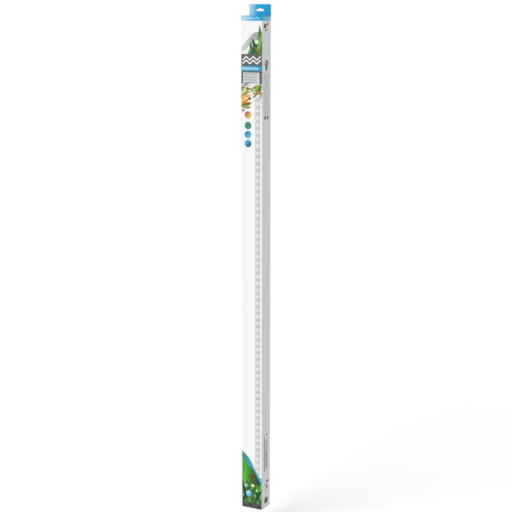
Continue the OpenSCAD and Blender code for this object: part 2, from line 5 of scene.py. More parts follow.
import bpy
from bpy.props import FloatProperty, FloatVectorProperty, PointerProperty
from bpy.types import Operator, Panel, PropertyGroup
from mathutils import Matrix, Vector


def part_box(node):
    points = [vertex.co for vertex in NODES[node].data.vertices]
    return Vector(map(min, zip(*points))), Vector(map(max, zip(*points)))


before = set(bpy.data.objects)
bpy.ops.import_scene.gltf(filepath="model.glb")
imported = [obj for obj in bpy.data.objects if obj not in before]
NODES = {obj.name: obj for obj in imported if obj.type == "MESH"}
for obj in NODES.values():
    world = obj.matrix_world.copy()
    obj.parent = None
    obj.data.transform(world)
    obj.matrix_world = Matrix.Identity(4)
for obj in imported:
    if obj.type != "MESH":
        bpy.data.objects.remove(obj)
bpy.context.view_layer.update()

bl_info = {
    "name": "Packed aquarium lamp",
    "version": (1, 0, 0),
    "blender": (4, 5, 0),
    "location": "View3D > Sidebar > Lamp",
    "description": "Print, board and lamp finishes for a hanging carton with a tube lamp inside",
    "category": "Object",
}

# Sizes are in metres in Blender, and in millimetres in the finishes
MM = 1000.0


def corners(name):
    """A node's lowest and highest corners at rest, in millimetres."""
    return [Vector(corner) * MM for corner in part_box(name)]


FRONT_LOW, FRONT_HIGH = corners("front_panel")
HALF_W = corners("right_side_panel")[1].x
HALF_D = corners("back_panel")[1].y
TALL = FRONT_HIGH.z
BOARD = FRONT_HIGH.y - FRONT_LOW.y
# Distance between the flutes of the carton board, and between the lamp's LEDs
FLUTE = 2.4
LED_PITCH = 1000 / 60
ONE_LED_RED_IN = 10
FULL_TURN = 2 * pi

# Softness of a printed edge in millimetres, and of a change from one facing to another
EDGE = 0.4
TURN_SOFT = 0.2
# How much of a normal points a way on a face that looks that way, or that lies level
TURNED = 0.5
LEVEL = 0.7
# Where the cloudy middle of Blender's noise starts and ends
CLOUD = (0.3, 0.7)
# Places of the share, the two colours and the result on a colour Mix node
MIX_SHARE, MIX_UNDER, MIX_OVER, MIX_RESULT = 0, 6, 7, 2


def ink(code):
    """The linear colour of a hex code, as it is written for a screen."""
    parts = [int(code[i:i + 2], 16) / 255 for i in (0, 2, 4)]
    return tuple(c / 12.92 if c <= 0.04045 else ((c + 0.055) / 1.055) ** 2.4 for c in parts)


class Field:
    """A number that varies over a surface, built from shader nodes by plain arithmetic."""

    def __init__(self, tree, socket):
        self.tree = tree
        self.socket = socket

    def put(self, value, socket):
        if isinstance(value, Field):
            self.tree.links.new(value.socket, socket)
        else:
            socket.default_value = value

    def math(self, operation, *values):
        node = self.tree.nodes.new("ShaderNodeMath")
        node.operation = operation
        for value, socket in zip(values, node.inputs):
            self.put(value, socket)
        return Field(self.tree, node.outputs[0])

    def __add__(self, other):
        return self.math("ADD", self, other)

    __radd__ = __add__

    def __sub__(self, other):
        return self.math("SUBTRACT", self, other)

    def __rsub__(self, other):
        return self.math("SUBTRACT", other, self)

    def __mul__(self, other):
        return self.math("MULTIPLY", self, other)

    __rmul__ = __mul__

    def __truediv__(self, other):
        return self.math("DIVIDE", self, other)

    def __neg__(self):
        return self * -1.0

    def __abs__(self):
        return self.math("ABSOLUTE", self)

    def sine(self):
        return self.math("SINE", self)

    def root(self):
        return self.math("SQRT", self)

    def fraction(self):
        return self.math("FRACT", self)

    def round_down(self):
        return self.math("FLOOR", self)

    def either(self, other):
        return self.math("MAXIMUM", self, other)

    def ramp(self, low, high, start=0.0, end=1.0, smooth=False):
        """Runs from start to end as the field runs from low to high, and stays there beyond."""
        node = self.tree.nodes.new("ShaderNodeMapRange")
        node.interpolation_type = "SMOOTHSTEP" if smooth else "LINEAR"
        names = ("Value", "From Min", "From Max", "To Min", "To Max")
        for name, value in zip(names, (self, low, high, start, end)):
            self.put(value, node.inputs[name])
        return Field(self.tree, node.outputs["Result"])

    def below(self, edge, soft=EDGE):
        return (self - edge).ramp(-soft / 2, soft / 2, 1.0, 0.0, smooth=True)

    def above(self, edge, soft=EDGE):
        return (self - edge).ramp(-soft / 2, soft / 2, 0.0, 1.0, smooth=True)

    def between(self, low, high, soft=EDGE):
        return self.above(low, soft) * self.below(high, soft)

    def turned(self):
        """1 on faces that look along this facing."""
        return self.above(TURNED, TURN_SOFT)

    def waves(self, length, shift=0.0):
        """A sine wave along this field, from -1 to 1."""
        return (self * (FULL_TURN / length) + shift).sine()


class Finish:
    """A material that is painted layer by layer over the place's own millimetres."""

    def __init__(self, name, colour, roughness=0.5, metallic=0.0):
        self.material = bpy.data.materials.new(name)
        self.material.use_nodes = True
        self.tree = self.material.node_tree
        self.shader = self.tree.nodes["Principled BSDF"]
        self.ground = colour
        self.base = self.shader.inputs["Base Color"]
        self.base.default_value = (*colour, 1.0)
        self.shader.inputs["Roughness"].default_value = roughness
        self.shader.inputs["Metallic"].default_value = metallic
        places = self.tree.nodes.new("ShaderNodeTexCoord").outputs
        self.mm = self.scale(places["Object"], (MM, MM, MM))
        self.x, self.y, self.z = self.split(self.mm)
        self.facing_x, self.facing_y, self.facing_z = self.split(places["Normal"])

    def scale(self, socket, by):
        node = self.tree.nodes.new("ShaderNodeVectorMath")
        node.operation = "MULTIPLY"
        node.inputs[1].default_value = by
        self.tree.links.new(socket, node.inputs[0])
        return node.outputs[0]

    def split(self, socket):
        node = self.tree.nodes.new("ShaderNodeSeparateXYZ")
        self.tree.links.new(socket, node.inputs[0])
        return [Field(self.tree, out) for out in node.outputs]

    def level(self):
        """1 on faces that look straight up or down."""
        return abs(self.facing_z).above(LEVEL, TURN_SOFT)

    def blend(self, start, end, share):
        """A colour from start to end as share runs from 0 to 1. Each is a tuple or a socket."""
        node = self.tree.nodes.new("ShaderNodeMix")
        node.data_type = "RGBA"
        for colour, place in ((start, MIX_UNDER), (end, MIX_OVER)):
            if isinstance(colour, tuple):
                node.inputs[place].default_value = (*colour, 1.0)
            else:
                self.tree.links.new(colour, node.inputs[place])
        self.tree.links.new(share.socket, node.inputs[MIX_SHARE])
        return node.outputs[MIX_RESULT]

    def cover(self, colour):
        """Lays a colour that varies over the whole surface."""
        self.tree.links.new(colour, self.base)

    def paint(self, colour, mask):
        """Lays a colour over what is there, where the mask is 1."""
        under = self.base.links[0].from_socket if self.base.is_linked else self.ground
        self.cover(self.blend(under, colour, mask))

    def noise(self, size, detail=2.0, stretch=(1.0, 1.0, 1.0)):
        """Cloudy noise from 0 to 1, with clouds about size millimetres across."""
        node = self.tree.nodes.new("ShaderNodeTexNoise")
        node.inputs["Scale"].default_value = 1.0 / size
        node.inputs["Detail"].default_value = detail
        self.tree.links.new(self.scale(self.mm, stretch), node.inputs["Vector"])
        return Field(self.tree, node.outputs["Fac"])

    def cells(self, size):
        """Distance to the nearest of scattered points, about size millimetres apart."""
        node = self.tree.nodes.new("ShaderNodeTexVoronoi")
        node.inputs["Scale"].default_value = 1.0 / size
        self.tree.links.new(self.mm, node.inputs["Vector"])
        return Field(self.tree, node.outputs["Distance"])

    def rough(self, field):
        self.tree.links.new(field.socket, self.shader.inputs["Roughness"])

    def bump(self, height, depth_mm):
        node = self.tree.nodes.new("ShaderNodeBump")
        node.inputs["Distance"].default_value = depth_mm / MM
        node.inputs["Strength"].default_value = 1.0
        self.tree.links.new(height.socket, node.inputs["Height"])
        self.tree.links.new(node.outputs[0], self.shader.inputs["Normal"])

    def wear(self, *names):
        """Gives this finish to CAD nodes."""
        for name in names:
            mesh = NODES[name].data
            mesh.materials.clear()
            mesh.materials.append(self.material)


# Print motifs: masks in the plane of a panel, from its two fields in millimetres

def disc(u, v, place, r, soft=EDGE):
    du, dv = u - place[0], v - place[1]
    return (du * du + dv * dv).root().below(r, soft)


def oval(u, v, place, half, soft):
    du, dv = (u - place[0]) / half[0], (v - place[1]) / half[1]
    return (du * du + dv * dv).below(1.0, soft)


def bar(u, v, low, high, soft=EDGE):
    return u.between(low[0], high[0], soft) * v.between(low[1], high[1], soft)


def leaf(u, v, foot, lean, long, wide):
    """A leaf from its foot, leaning lean degrees to the right of upright, with pointed ends."""
    edge, tip = 0.5, 0.02
    a = radians(lean)
    du, dv = u - foot[0], v - foot[1]
    along = (du * sin(a) + dv * cos(a)) / long
    across = abs(du * cos(a) - dv * sin(a))
    side = across - along * (1.0 - along) * (2.0 * wide)
    return side.below(0.0, edge) * along.between(0.0, 1.0, tip)


def wave(u, height, slope, swing, length, shift=0.0):
    """The height of a wavy line above each place along the panel."""
    return u.waves(length, shift) * swing + u * slope + height


# Places of the print, in millimetres across a panel and above the carton's foot

# Wavy lines on the front: height at the middle, slope, swing, length of a wave, and shift
RIBBON_FOOT = (1152.0, 0.45, 5.0, 61.0, 0.6)
RIBBON_TOP = (1170.0, 0.62, 6.0, 66.0, 1.2)
HILL_TOP = (1142.0, 0.75, 3.0, 43.0, 0.4)
WATER_LINES = ((1121.0, 0.0, 3.2, 18.6), (1112.5, 0.0, 3.2, 18.6))
FANS_FOOT = (1006.0, 0.55, 3.5, 52.0, 0.8)
STRIP_TOP = (1021.0, 0.9, 3.0, 40.0)
POND_TOP = (118.0, -1.3, 4.0, 47.0, 2.4)
SHOOTS_TOP = (104.0, -1.2, 4.0, 39.0, 1.0)
BANK_TOP = (70.0, -0.15, 4.0, 31.0, 2.0)
STONES_TOP = (15.0, 0.0, 2.0, 37.0, 0.5)

# Foot and top of the leaves' pale ground, of the dark block and of the blue stripe in it, the
# foot of the fans' ground, and the foot of the light strip
LEAVES_HIGH = 1200.0
BLOCK = (1061.0, 1131.0)
STRIPE = (1091.5, 1103.0)
FANS_LOW = 994.0
STRIP_LOW = 90.0

# Pale panel in the dark block, and the rules on it, as two corners each
PANEL = ((-22.5, 1061.0), (21.0, 1088.0))
RULES = ((-20.0, 1063.0), (15.0, 1087.0))
RULE_PITCH = 6.6
# Pips on the stripe: pitch, radius, height, and where the row starts and ends, at whole pitches
PIP_PITCH, PIP_R, PIP_UP, PIP_RANGE = 6.2, 2.2, 1097.2, (-24.8, 18.6)

# Leaves: foot, lean in degrees, length, width at the middle, and ink
HEAD_LEAVES = (
    ((24, 1126), -2, 74, 9, "3c7133"),
    ((14, 1126), 14, 60, 8, "78ab5c"),
    ((18, 1126), -22, 46, 9, "1d4a2b"),
    ((2, 1126), -8, 34, 8, "2b5d37"),
    ((26, 1126), -40, 30, 7, "7d7237"),
    ((-9, 1126), 24, 24, 7, "4d8a4a"),
)
POND_LEAVES = (
    ((-24, 20), 4, 84, 7, "63b53c"),
    ((-14, 16), -14, 62, 7, "123f24"),
    ((2, 14), 8, 70, 7, "5b4722"),
    ((14, 14), -8, 58, 7, "2a7d3a"),
    ((22, 14), 6, 60, 6, "7fb553"),
    ((8, 14), 28, 46, 6, "0f3a22"),
    ((-27, 12), 24, 50, 7, "0f3a24"),
    ((26, 12), -22, 50, 6, "0d4a2c"),
)
# Fans of leaves: foot, lean of the first, turn to the next, length, width, and the inks
LEAF_FANS = (
    ((-29, 1052), 60, 18, 30, 6, ("8d8f9a", "cfc4b4", "74623f", "b9b45a")),
    ((-30, 1030), 10, 24, 30, 7, ("3f8f6a", "dfd98a", "8f9a4a", "e2a24a")),
    ((-30, 1008), 6, 22, 32, 8, ("d98a3a", "f2bf5c", "e8842c", "7a6a34", "9aa05a")),
    ((27, 1060), 250, -16, 30, 7, ("8a9147", "93b83c", "6f8a2c", "4f6f2a")),
    ((28, 1042), 262, -18, 28, 7, ("c98f45", "7a5a34", "a0673a", "b8a562")),
)
# Round dots: place, radius and ink
SEEDS = (
    ((-5, 1027), 3.6, "4c5058"),
    ((-7, 1015), 3.6, "5f5a60"),
    ((1, 1046), 3.0, "8e8876"),
    ((-22, 999), 3.4, "7d8048"),
)
BUBBLES = (
    ((-9, 38), 8.0, "63b9dc"),
    ((-10.6, 40.4), 4.4, "a9e0ef"),
    ((3, 60), 4.2, "d8e8c8"),
    ((-17, 58), 4.6, "9ccfae"),
    ((14, 48), 3.2, "c5dd9a"),
    ((8, 34), 2.4, "8fd0c0"),
)
# Round spots: height of the middle, and the inks at the upper left and the lower right
SPOTS = (
    (988.0, "c2534a", "d7c95f"),
    (963.2, "4c8f57", "2c8f93"),
    (941.6, "1f7fa8", "5fc4e4"),
    (920.4, "49b4dd", "135f86"),
)
SPOT_X, SPOT_R = -9.5, 9.0

# Side panel, across it from front to back: rows of strokes as two corners, with their pitch
SIDE_ROWS = ((-15.0, 994.0), (13.0, 1086.0))
ROW_PITCH, ROW_FROM = 5.2, 992.0
# Ovals: place, half width and half height, softness, and ink
SIDE_OVALS = (
    ((-7.6, 1195.2), (7.0, 5.8), 0.25, "8a4a2c"),
    ((4.4, 1199.4), (4.6, 3.8), 0.25, "8f8a52"),
    ((-0.4, 1109.0), (9.5, 8.6), 0.25, "7c8c8a"),
    ((-0.4, 1098.0), (5.2, 6.4), 0.25, "5b6867"),
    ((0.8, 18.0), (9.5, 8.4), 0.25, "484848"),
    ((-3.6, 1111.5), (3.4, 3.6), 0.3, "b4bfbe"),
)
# Bars: two corners, softness, and ink
SIDE_BARS = (
    ((-10.0, 1184.6), (4.0, 1187.4), 1.0, "4a4a4a"),
    ((-11.0, 977.5), (-3.0, 985.0), 1.0, "4a4a4a"),
    ((3.0, 977.5), (11.0, 985.0), 1.0, "4a4a4a"),
    ((3.0, 64.0), (12.5, 70.0), 1.0, "4a4a4a"),
    ((-1.0, 50.0), (9.0, 56.0), 1.0, "4a4a4a"),
    ((-8.2, 984.0), (-5.8, 995.0), 0.4, "8d8d8d"),
    ((5.8, 984.0), (8.2, 995.0), 0.4, "8d8d8d"),
    ((-9.0, 60.0), (1.0, 62.5), 0.4, "8d8d8d"),
    ((-8.0, 45.0), (4.0, 47.5), 0.4, "8d8d8d"),
    ((-3.0, 190.0), (9.0, 193.0), 0.4, "8d8d8d"),
    ((-9.6, 96.0), (-6.2, 188.0), 1.2, "4f4f4f"),
    ((-2.0, 104.0), (9.0, 178.0), 1.6, "c6c6c6"),
    ((1.2, 108.0), (5.4, 146.0), 1.0, "9c9c9c"),
)
# Back panel, across it as seen from behind: blocks of small print as two corners
BACK_TEXTS = (
    ((-21.0, 1118.0), (21.0, 1192.0)),
    ((-21.0, 84.0), (-2.0, 262.0)),
    ((2.0, 84.0), (21.0, 262.0)),
)
TEXT_PITCH = 4.2
# How much shorter a row may end, and the step of that share from row to row
RAGGED, RAGGED_TURN = 6.0, 0.618
# Two sets of gaps between words: shift from row to row, distance apart, and share of that
WORD_GAPS = ((5.3, 7.1, 0.14), (-3.7, 11.3, 0.1))
# Line drawing of a tube lamp between two measuring lines: two corners, softness, and ink
BACK_DRAWING = (
    ((-4.6, 340.0), (4.6, 1052.0), 0.4, "9ba1a4"),
    ((-3.7, 340.0), (3.7, 1052.0), 0.4, "eef0f0"),
    ((-4.6, 316.0), (4.6, 341.0), 0.6, "63686b"),
    ((-4.6, 1051.0), (4.6, 1076.0), 0.6, "63686b"),
    ((-2.8, 304.0), (2.8, 316.0), 0.4, "b9bdbf"),
    ((-2.8, 1076.0), (2.8, 1088.0), 0.4, "b9bdbf"),
    ((-4.6, 297.0), (4.6, 304.0), 0.6, "63686b"),
    ((-4.6, 1088.0), (4.6, 1095.0), 0.6, "63686b"),
    ((-14.6, 297.0), (-14.0, 1095.0), 0.2, "8d8d8d"),
    ((-17.0, 297.0), (-6.4, 297.6), 0.2, "8d8d8d"),
    ((-17.0, 1094.4), (-6.4, 1095.0), 0.2, "8d8d8d"),
    ((14.0, 316.0), (14.6, 1076.0), 0.2, "8d8d8d"),
    ((6.4, 316.0), (17.0, 316.6), 0.2, "8d8d8d"),
    ((6.4, 1075.4), (17.0, 1076.0), 0.2, "8d8d8d"),
)
# Dots on the drawn lamp: where their row starts and ends, and their radius
DRAWN_DOTS, DRAWN_DOT_R = (350.0, 1050.0), 1.3
# Where along half a panel the blue band gets its full depth
BAND_DEEP = 0.55


# Settings

class PrintSettings(PropertyGroup):
    """Sizes and colours of the carton's print."""
    white: FloatVectorProperty(
        name="White", description="Coated white of the board",
        subtype="COLOR", size=3, min=0.0, max=1.0, default=ink("f5f5f5"))
    blue: FloatVectorProperty(
        name="Blue", description="Deep end of the blue band and tab",
        subtype="COLOR", size=3, min=0.0, max=1.0, default=ink("089fd0"))
    pale_blue: FloatVectorProperty(
        name="Pale blue", description="Pale end of the blue band and tab",
        subtype="COLOR", size=3, min=0.0, max=1.0, default=ink("a5d5f0"))
    charcoal: FloatVectorProperty(
        name="Charcoal", description="Dark block near the top",
        subtype="COLOR", size=3, min=0.0, max=1.0, default=ink("5f5f60"))
    band: FloatProperty(
        name="Band", description="Height of the blue band round the top",
        subtype="DISTANCE", unit="LENGTH", default=0.0125, min=0.004, max=0.04)
    strip_left: FloatProperty(
        name="Strip left", description="Left edge of the printed strip, from the front's middle",
        subtype="DISTANCE", unit="LENGTH", default=0.0091)
    strip_right: FloatProperty(
        name="Strip right", description="Right edge of the printed strip, from the front's middle",
        subtype="DISTANCE", unit="LENGTH", default=0.0226)
    dot_pitch: FloatProperty(
        name="Dot pitch", description="Distance between the strip's dots",
        subtype="DISTANCE", unit="LENGTH", default=LED_PITCH / MM, min=0.005, max=0.05)
    dot_place: FloatProperty(
        name="Dot place", description="Height of one dot above the carton's foot",
        subtype="DISTANCE", unit="LENGTH", default=0.982)


class StageSettings(PropertyGroup):
    """Camera and light."""
    lens: FloatProperty(
        name="Lens", description="Focal length", unit="CAMERA", default=86.8, min=20.0, max=200.0)
    azimuth: FloatProperty(
        name="Azimuth", description="Turn of the view to the right",
        subtype="ANGLE", default=radians(27.22))
    dip: FloatProperty(
        name="Dip", description="How far the view looks down",
        subtype="ANGLE", default=radians(11.26))
    distance: FloatProperty(
        name="Distance", description="Level distance from the camera to the near corner",
        subtype="DISTANCE", unit="LENGTH", default=2.918, min=0.5)
    aside: FloatProperty(
        name="Aside", description="Near corner's distance right of the view's middle",
        subtype="DISTANCE", unit="LENGTH", default=0.01439)
    rise: FloatProperty(
        name="Rise", description="Camera height above the carton's top",
        subtype="DISTANCE", unit="LENGTH", default=0.0117)
    hang: FloatProperty(
        name="Hang", description="Height of the hanging carton above the floor",
        subtype="DISTANCE", unit="LENGTH", default=0.05, min=0.0)
    ambient: FloatProperty(
        name="Ambient", description="Strength of the light from all round", default=0.52, min=0.0)
    key: FloatProperty(
        name="Key", description="Strength of the soft light from the front left",
        default=1.63, min=0.0)
    key_spread: FloatProperty(
        name="Key spread", description="How wide the soft light is, seen from the carton",
        subtype="ANGLE", default=radians(40))


# Carton board

def board(name, colour):
    """Coated carton board, with a soft gloss."""
    finish = Finish(name, colour, roughness=0.42)
    finish.shader.inputs["Specular IOR Level"].default_value = 0.22
    return finish


def close_board(finish, along, outside=None, cut=None):
    """Ends a board finish: bare inside, raw edges with their flutes, scuffed folds and tooth.

    along is the field across the flutes, outside is 1 on the printed face (with none, all is
    bare), and cut is 1 where an edge was cut and not folded."""
    tooth = finish.noise(1.3, detail=3.0)
    flutes = along.waves(FLUTE)
    inside = finish.blend(ink("b9ab94"), ink("c9bda8"), tooth)
    if outside is None:
        finish.cover(inside)
    else:
        finish.paint(inside, 1.0 - outside)
    if cut is not None:
        finish.paint(finish.blend(ink("a89878"), ink("e9e4d8"), flutes.ramp(-1.0, 1.0)), cut)
    fold_reach, fold_soft, scuff_depth = 1.3, 0.8, 0.4
    scuff = finish.noise(5.0, detail=4.0).above(0.66, 0.12)
    fold = (abs(finish.x).above(HALF_W - fold_reach, fold_soft)
            * abs(finish.y).above(HALF_D - fold_reach, fold_soft))
    finish.paint(ink("e9e6de"), fold * scuff * scuff_depth)
    gloss_low, gloss_high, tooth_gloss = 0.36, 0.48, 0.06
    finish.rough(finish.noise(46.0).ramp(*CLOUD, gloss_low, gloss_high) + tooth * tooth_gloss)
    tooth_high, flute_high = 0.5, 0.18
    finish.bump(tooth * tooth_high + flutes * flute_high, depth_mm=0.02)


def top_band(finish, settings, along, pale_at, deep_at):
    """The blue band round the carton's top, from pale to deep along the panel, with a ripple."""
    band = settings.band * MM
    share = along.ramp(pale_at, deep_at, smooth=True)
    shade = finish.blend(tuple(settings.pale_blue), tuple(settings.blue), share)
    finish.paint(shade, finish.z.above(TALL - band))
    ripple = (TALL - band * 0.52, 0.0, 1.5, 11.0)
    half_line, line_soft, reach, reach_soft = 0.8, 0.6, 21.0, 4.0
    line = abs(finish.z - wave(along, *ripple)).below(half_line, line_soft)
    finish.paint(ink("d9eef8"), line * abs(along).below(reach, reach_soft))


def paint_leaves(finish, leaves, within):
    """Leaves from one of the tables above, cut off outside the mask."""
    for foot, lean, long, wide, code in leaves:
        finish.paint(ink(code), leaf(finish.x, finish.z, foot, lean, long, wide) * within)


def paint_dots(finish, dots, soft=EDGE):
    """Round dots, each as its place, radius and ink."""
    for place, r, code in dots:
        finish.paint(ink(code), disc(finish.x, finish.z, place, r, soft))


def head_print(finish):
    """A wavy grey ribbon, a hill and leaves above the dark block."""
    x, z = finish.x, finish.z
    across = x.ramp(-HALF_W, HALF_W)
    over_block = z.above(BLOCK[1])
    ribbon_foot = wave(x, *RIBBON_FOOT)
    ribbon_soft, hill_soft, hill_shade = 1.0, 1.2, (-4.0, 26.0)
    ribbon = z.above(ribbon_foot, ribbon_soft) * z.below(wave(x, *RIBBON_TOP), ribbon_soft)
    finish.paint(finish.blend(ink("d3d5d2"), ink("8b9591"), across), ribbon)
    ground = z.between(BLOCK[1], LEAVES_HIGH) * z.below(ribbon_foot, ribbon_soft)
    finish.paint(finish.blend(ink("f0f1ef"), ink("d6ead0"), across), ground)
    hill = z.below(wave(x, *HILL_TOP), hill_soft) * over_block
    finish.paint(finish.blend(ink("1f4f33"), ink("4d7a2c"), x.ramp(*hill_shade)), hill)
    paint_leaves(finish, HEAD_LEAVES, over_block)


def block_print(finish, settings):
    """The dark block: two pale water lines, a blue stripe with pips, and a pale ruled panel."""
    x, z = finish.x, finish.z
    finish.paint(tuple(settings.charcoal), z.between(*BLOCK))
    half_line, line_soft, reach, reach_soft = 2.1, 0.8, 24.0, 1.0
    for water in WATER_LINES:
        line = abs(z - wave(x, *water)).below(half_line, line_soft)
        finish.paint(ink("e6ece4"), line * abs(x).below(reach, reach_soft))
    across = x.ramp(-HALF_W, HALF_W)
    finish.paint(finish.blend(ink("52b2d8"), ink("2a98c0"), across), z.between(*STRIPE))
    along = (x / PIP_PITCH).fraction() * PIP_PITCH - PIP_PITCH / 2
    finish.paint(ink("d4eef8"), disc(along, z, (0.0, PIP_UP), PIP_R) * x.between(*PIP_RANGE))
    finish.paint(ink("ccd3d1"), bar(x, z, *PANEL))
    rule_low, rule_high, rule_soft = 0.35, 0.62, 0.06
    rules = ((z - BLOCK[0]) / RULE_PITCH).fraction().between(rule_low, rule_high, rule_soft)
    finish.paint(ink("8f9796"), rules * bar(x, z, *RULES))


def fan_print(finish, settings):
    """Fans of warm leaves and some seeds, which a wavy white edge cuts off below."""
    x, z = finish.x, finish.z
    edge_soft = 1.0
    finish.paint(ink("efeeea"), z.between(FANS_LOW, BLOCK[0]))
    for foot, first, turn, long, wide, codes in LEAF_FANS:
        for i, code in enumerate(codes):
            finish.paint(ink(code), leaf(x, z, foot, first + turn * i, long, wide))
    paint_dots(finish, SEEDS)
    finish.paint(tuple(settings.white), z.below(wave(x, *FANS_FOOT), edge_soft))


def light_strip(finish, settings):
    """A picture of a lit strip: a soft grey bar with round pale lenses at a steady pitch."""
    x, z = finish.x, finish.z
    left, right = settings.strip_left * MM, settings.strip_right * MM
    pitch = settings.dot_pitch * MM
    end_soft, side_soft = 1.0, 0.8
    reach = z.between(STRIP_LOW, wave(x, *STRIP_TOP), end_soft)
    strip = x.between(left, right, side_soft) * reach
    finish.paint(finish.blend(ink("d6d6d6"), ink("c2c2c2"), x.ramp(left, right)), strip)
    # each dot's own height, from the middle of its stretch of the strip
    count = (z - settings.dot_place * MM) / pitch + 0.5
    up = (count.fraction() - 0.5) * pitch
    aside = 0.4
    middle = ((left + right) / 2 + aside, 0.0)
    ring = disc(x, up, middle, r=5.0, soft=1.6)
    lens = disc(x, up, middle, r=3.7, soft=2.4)
    finish.paint(ink("cbcbcb"), ring * strip)
    finish.paint(ink("ececeb"), lens * strip)
    turn_low, turn_high, turn_soft, rosy_depth = 0.45, 0.55, 0.02, 0.4
    turn = (count.round_down() / ONE_LED_RED_IN).fraction()
    rosy = turn.between(turn_low, turn_high, turn_soft)
    finish.paint(ink("efd6dc"), lens * strip * rosy * rosy_depth)
    gap_from, gap_soft, inset, inset_soft, gap_depth = 0.44, 0.6, 1.0, 1.0, 0.6
    gap = abs(up).above(pitch * gap_from, gap_soft)
    inner = x.between(left + inset, right - inset, inset_soft)
    finish.paint(ink("bdbdbd"), gap * inner * strip * gap_depth)
    rim, rim_soft, rim_depth = 1.2, 0.6, 0.7
    finish.paint(ink("b6b6b6"), x.between(right - rim, right, rim_soft) * reach * rim_depth)


def spot_print(finish):
    """Four round spots, each shaded aslant from one colour to another."""
    x, z = finish.x, finish.z
    spot_soft = 0.7
    for height, first, last in SPOTS:
        aslant = (x - SPOT_X) - (z - height)
        shade = finish.blend(ink(first), ink(last), aslant.ramp(-SPOT_R, SPOT_R))
        finish.paint(shade, disc(x, z, (SPOT_X, height), SPOT_R, spot_soft))


def foot_print(finish):
    """Water and plants at the foot: crossing waves, leaves, bubbles and pebbles."""
    x, z = finish.x, finish.z
    pond_soft, shoots_soft, bank_soft, stones_soft = 0.8, 1.6, 6.0, 1.6
    pond = z.below(wave(x, *POND_TOP), pond_soft)
    finish.paint(finish.blend(ink("2e8a86"), ink("55acd0"), x.ramp(-26.0, 14.0)), pond)
    shoots = z.below(wave(x, *SHOOTS_TOP), shoots_soft)
    finish.paint(finish.blend(ink("4aa532"), ink("0f4a30"), x.ramp(-18.0, 14.0)), shoots)
    shade = disc(x, z, (2.0, 84.0), r=9.0, soft=12.0)
    shade_depth = 0.8
    finish.paint(ink("5a4a1f"), shade * shoots * shade_depth)
    blades = finish.noise(2.6, detail=3.0, stretch=(1.0, 1.0, 0.16)).ramp(0.36, 0.68)
    bank = z.below(wave(x, *BANK_TOP), bank_soft)
    finish.paint(finish.blend(ink("0f3a1f"), ink("6fb04a"), blades), bank * shoots)
    paint_leaves(finish, POND_LEAVES, shoots)
    paint_dots(finish, BUBBLES, soft=0.9)
    stones = finish.cells(7.0).ramp(0.1, 0.7)
    ground = z.below(wave(x, *STONES_TOP), stones_soft)
    finish.paint(finish.blend(ink("6a6a68"), ink("343536"), stones), ground)


def front_print(settings):
    """The printed front, from the head's leaves down to the pond, with the band laid over."""
    finish = board("carton_front_print", tuple(settings.white))
    head_print(finish)
    block_print(finish, settings)
    fan_print(finish, settings)
    light_strip(finish, settings)
    spot_print(finish)
    foot_print(finish)
    top_band(finish, settings, finish.x, -HALF_W, HALF_W * BAND_DEEP)
    close_board(finish, finish.x, (-finish.facing_y).turned(), finish.level())
    return finish


def paint_bars(finish, across, bars):
    """Straight bars, each as two corners, softness and ink."""
    for low, high, soft, code in bars:
        finish.paint(ink(code), bar(across, finish.z, low, high, soft))


def side_marks(finish, across):
    """Rows of strokes and small marks on a narrow side, across it as seen from outside."""
    z = finish.z
    stroke_low, stroke_high, stroke_soft, rows_soft = 0.3, 0.7, 0.3, 1.0
    rows = ((z - ROW_FROM) / ROW_PITCH).fraction().between(stroke_low, stroke_high, stroke_soft)
    finish.paint(ink("c3cdcb"), rows * bar(across, z, *SIDE_ROWS, rows_soft))
    for place, half, soft, code in SIDE_OVALS:
        finish.paint(ink(code), oval(across, z, place, half, soft))
    paint_bars(finish, across, SIDE_BARS)


def back_marks(finish):
    """Blocks of small print as rows of strokes, and a line drawing of a tube lamp."""
    across, z = -finish.x, finish.z
    stroke_low, stroke_high, stroke_soft, gap_soft = 0.3, 0.68, 0.16, 0.04
    text = (z / TEXT_PITCH).fraction().between(stroke_low, stroke_high, stroke_soft)
    row = (z / TEXT_PITCH).round_down()
    for shift, apart, gap in WORD_GAPS:
        text = text * ((across + row * shift) / apart).fraction().above(gap, gap_soft)
    ragged = (row * RAGGED_TURN).fraction() * RAGGED
    for low, high in BACK_TEXTS:
        ends = across.below(high[0] - ragged)
        finish.paint(ink("9aa0a2"), text * ends * bar(across, z, low, high))
    paint_bars(finish, across, BACK_DRAWING)
    up = (z / LED_PITCH).fraction() * LED_PITCH - LED_PITCH / 2
    dots = disc(across, up, (0.0, 0.0), DRAWN_DOT_R) * z.between(*DRAWN_DOTS)
    finish.paint(ink("a9aeb0"), dots)


def side_print(settings):
    """The printed right side, with a band that pales towards the back."""
    finish = board("carton_side_print", tuple(settings.white))
    side_marks(finish, finish.y)
    band = finish.blend(ink("45cdfb"), ink("a4deee"), finish.y.ramp(-HALF_D, HALF_D))
    finish.paint(band, finish.z.above(TALL - settings.band * MM))
    close_board(finish, finish.y, finish.facing_x.turned().either(finish.level()))
    return finish


def left_print(settings):
    """The printed left side, with the same marks as the right."""
    finish = board("carton_left_print", tuple(settings.white))
    side_marks(finish, -finish.y)
    top_band(finish, settings, finish.y, HALF_D, -HALF_D)
    close_board(finish, finish.y, (-finish.facing_x).turned().either(finish.level()))
    return finish


